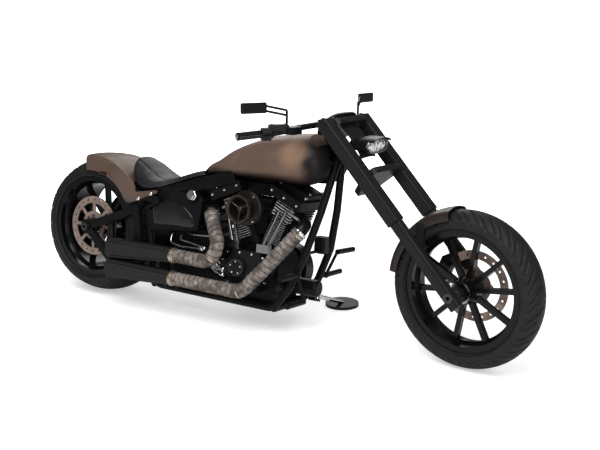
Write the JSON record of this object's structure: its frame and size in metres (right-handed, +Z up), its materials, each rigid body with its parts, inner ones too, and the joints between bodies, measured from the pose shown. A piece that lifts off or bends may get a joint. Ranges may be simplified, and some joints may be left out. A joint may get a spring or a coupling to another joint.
{
  "type": "chopper motorcycle",
  "caption": "Low long-fork chopper with a wide rear tyre, V engine, wrapped side exhausts, flowing tank and solo seat, leaning on its side stand.",
  "frame": {"origin": "centre of the base of the whole box, on the floor between the wheels", "axes": "+X forward, +Y to the rider's left, +Z up"},
  "size_m": [2.5741, 0.919, 1.0329],
  "materials": {
    "paint_bronze": "satin",
    "paint_black": "satin",
    "wheel_black": "gloss",
    "tyre": "matte",
    "rotor_steel": "brushed",
    "axle_steel": "satin",
    "engine_black": "satin",
    "engine_bright": "polished",
    "wrap": "woven",
    "muffler_black": "matte",
    "belt": "matte",
    "leather": "satin",
    "grip_rubber": "matte",
    "plastic_black": "matte",
    "lens": "clear",
    "lamp_red": "gloss",
    "braid": "braided",
    "chrome": "polished"
  },
  "bodies": {
    "root": {"rear_axle": "axle_steel", "swingarm": "paint_black", "frame_spine": "paint_black", "frame_cradle": "paint_black", "rear_fender": "paint_bronze", "fender_struts": "paint_bronze", "fuel_tank": "paint_bronze", "seat": "leather", "crankcase": "engine_black", "cylinder_front": "engine_black", "cylinder_rear": "engine_black", "rocker_covers": "engine_black", "pushrod_tubes": "engine_bright", "cam_cover": "engine_black", "air_cleaner": "engine_black", "intake": "engine_black", "primary_cover": "engine_black", "gearbox": "engine_black", "drive_belt": "belt", "oil_tank": "paint_black", "oil_lines": "braid", "front_header": "wrap", "rear_header": "wrap", "mufflers": "muffler_black", "foot_controls": "paint_black", "ignition_coil": "plastic_black", "oil_filter": "engine_black", "rear_caliper": "axle_steel", "rear_lights": "lamp_red"},
    "rear_wheel": {"rear_tyre": "tyre", "rear_rim": "wheel_black", "rear_rotor": "rotor_steel", "rear_pulley": "wheel_black"},
    "fork": {"fork_leg_right": "paint_black", "fork_leg_left": "paint_black", "lower_tree": "paint_black", "upper_tree": "paint_black", "headlight_shell": "paint_black", "headlight_lens": "lens", "handlebar": "paint_black", "grips": "grip_rubber", "hand_controls": "plastic_black", "mirrors": "plastic_black", "front_fender": "paint_bronze", "fender_stays": "paint_black", "front_caliper": "paint_black", "front_axle": "axle_steel"},
    "front_wheel": {"front_tyre": "tyre", "front_rim": "wheel_black", "front_rotor": "rotor_steel"},
    "side_stand": {"stand_leg": "chrome", "stand_foot": "paint_black"}
  },
  "joints": [
    {"name": "steering", "type": "hinge", "parent": "root", "child": "fork", "pos_m": [0.37694, -0.0207, 0.79404], "axis": [-0.6947, 0.0877, 0.714], "range_deg": [-22, 38]},
    {"name": "front_wheel_spin", "type": "hinge", "parent": "fork", "child": "front_wheel", "pos_m": [0.96828, -0.092, 0.31993], "axis": [0.1001, 0.9947, -0.0247], "continuous": true},
    {"name": "rear_wheel_spin", "type": "hinge", "parent": "root", "child": "rear_wheel", "pos_m": [-0.95456, -0.07748, 0.33156], "axis": [0, 0.9925, -0.1219], "continuous": true},
    {"name": "side_stand_fold", "type": "hinge", "parent": "root", "child": "side_stand", "pos_m": [0.19143, 0.0567, 0.11152], "axis": [-0.0698, 0.3825, 0.9213], "range_deg": [0, 62]}
  ]
}
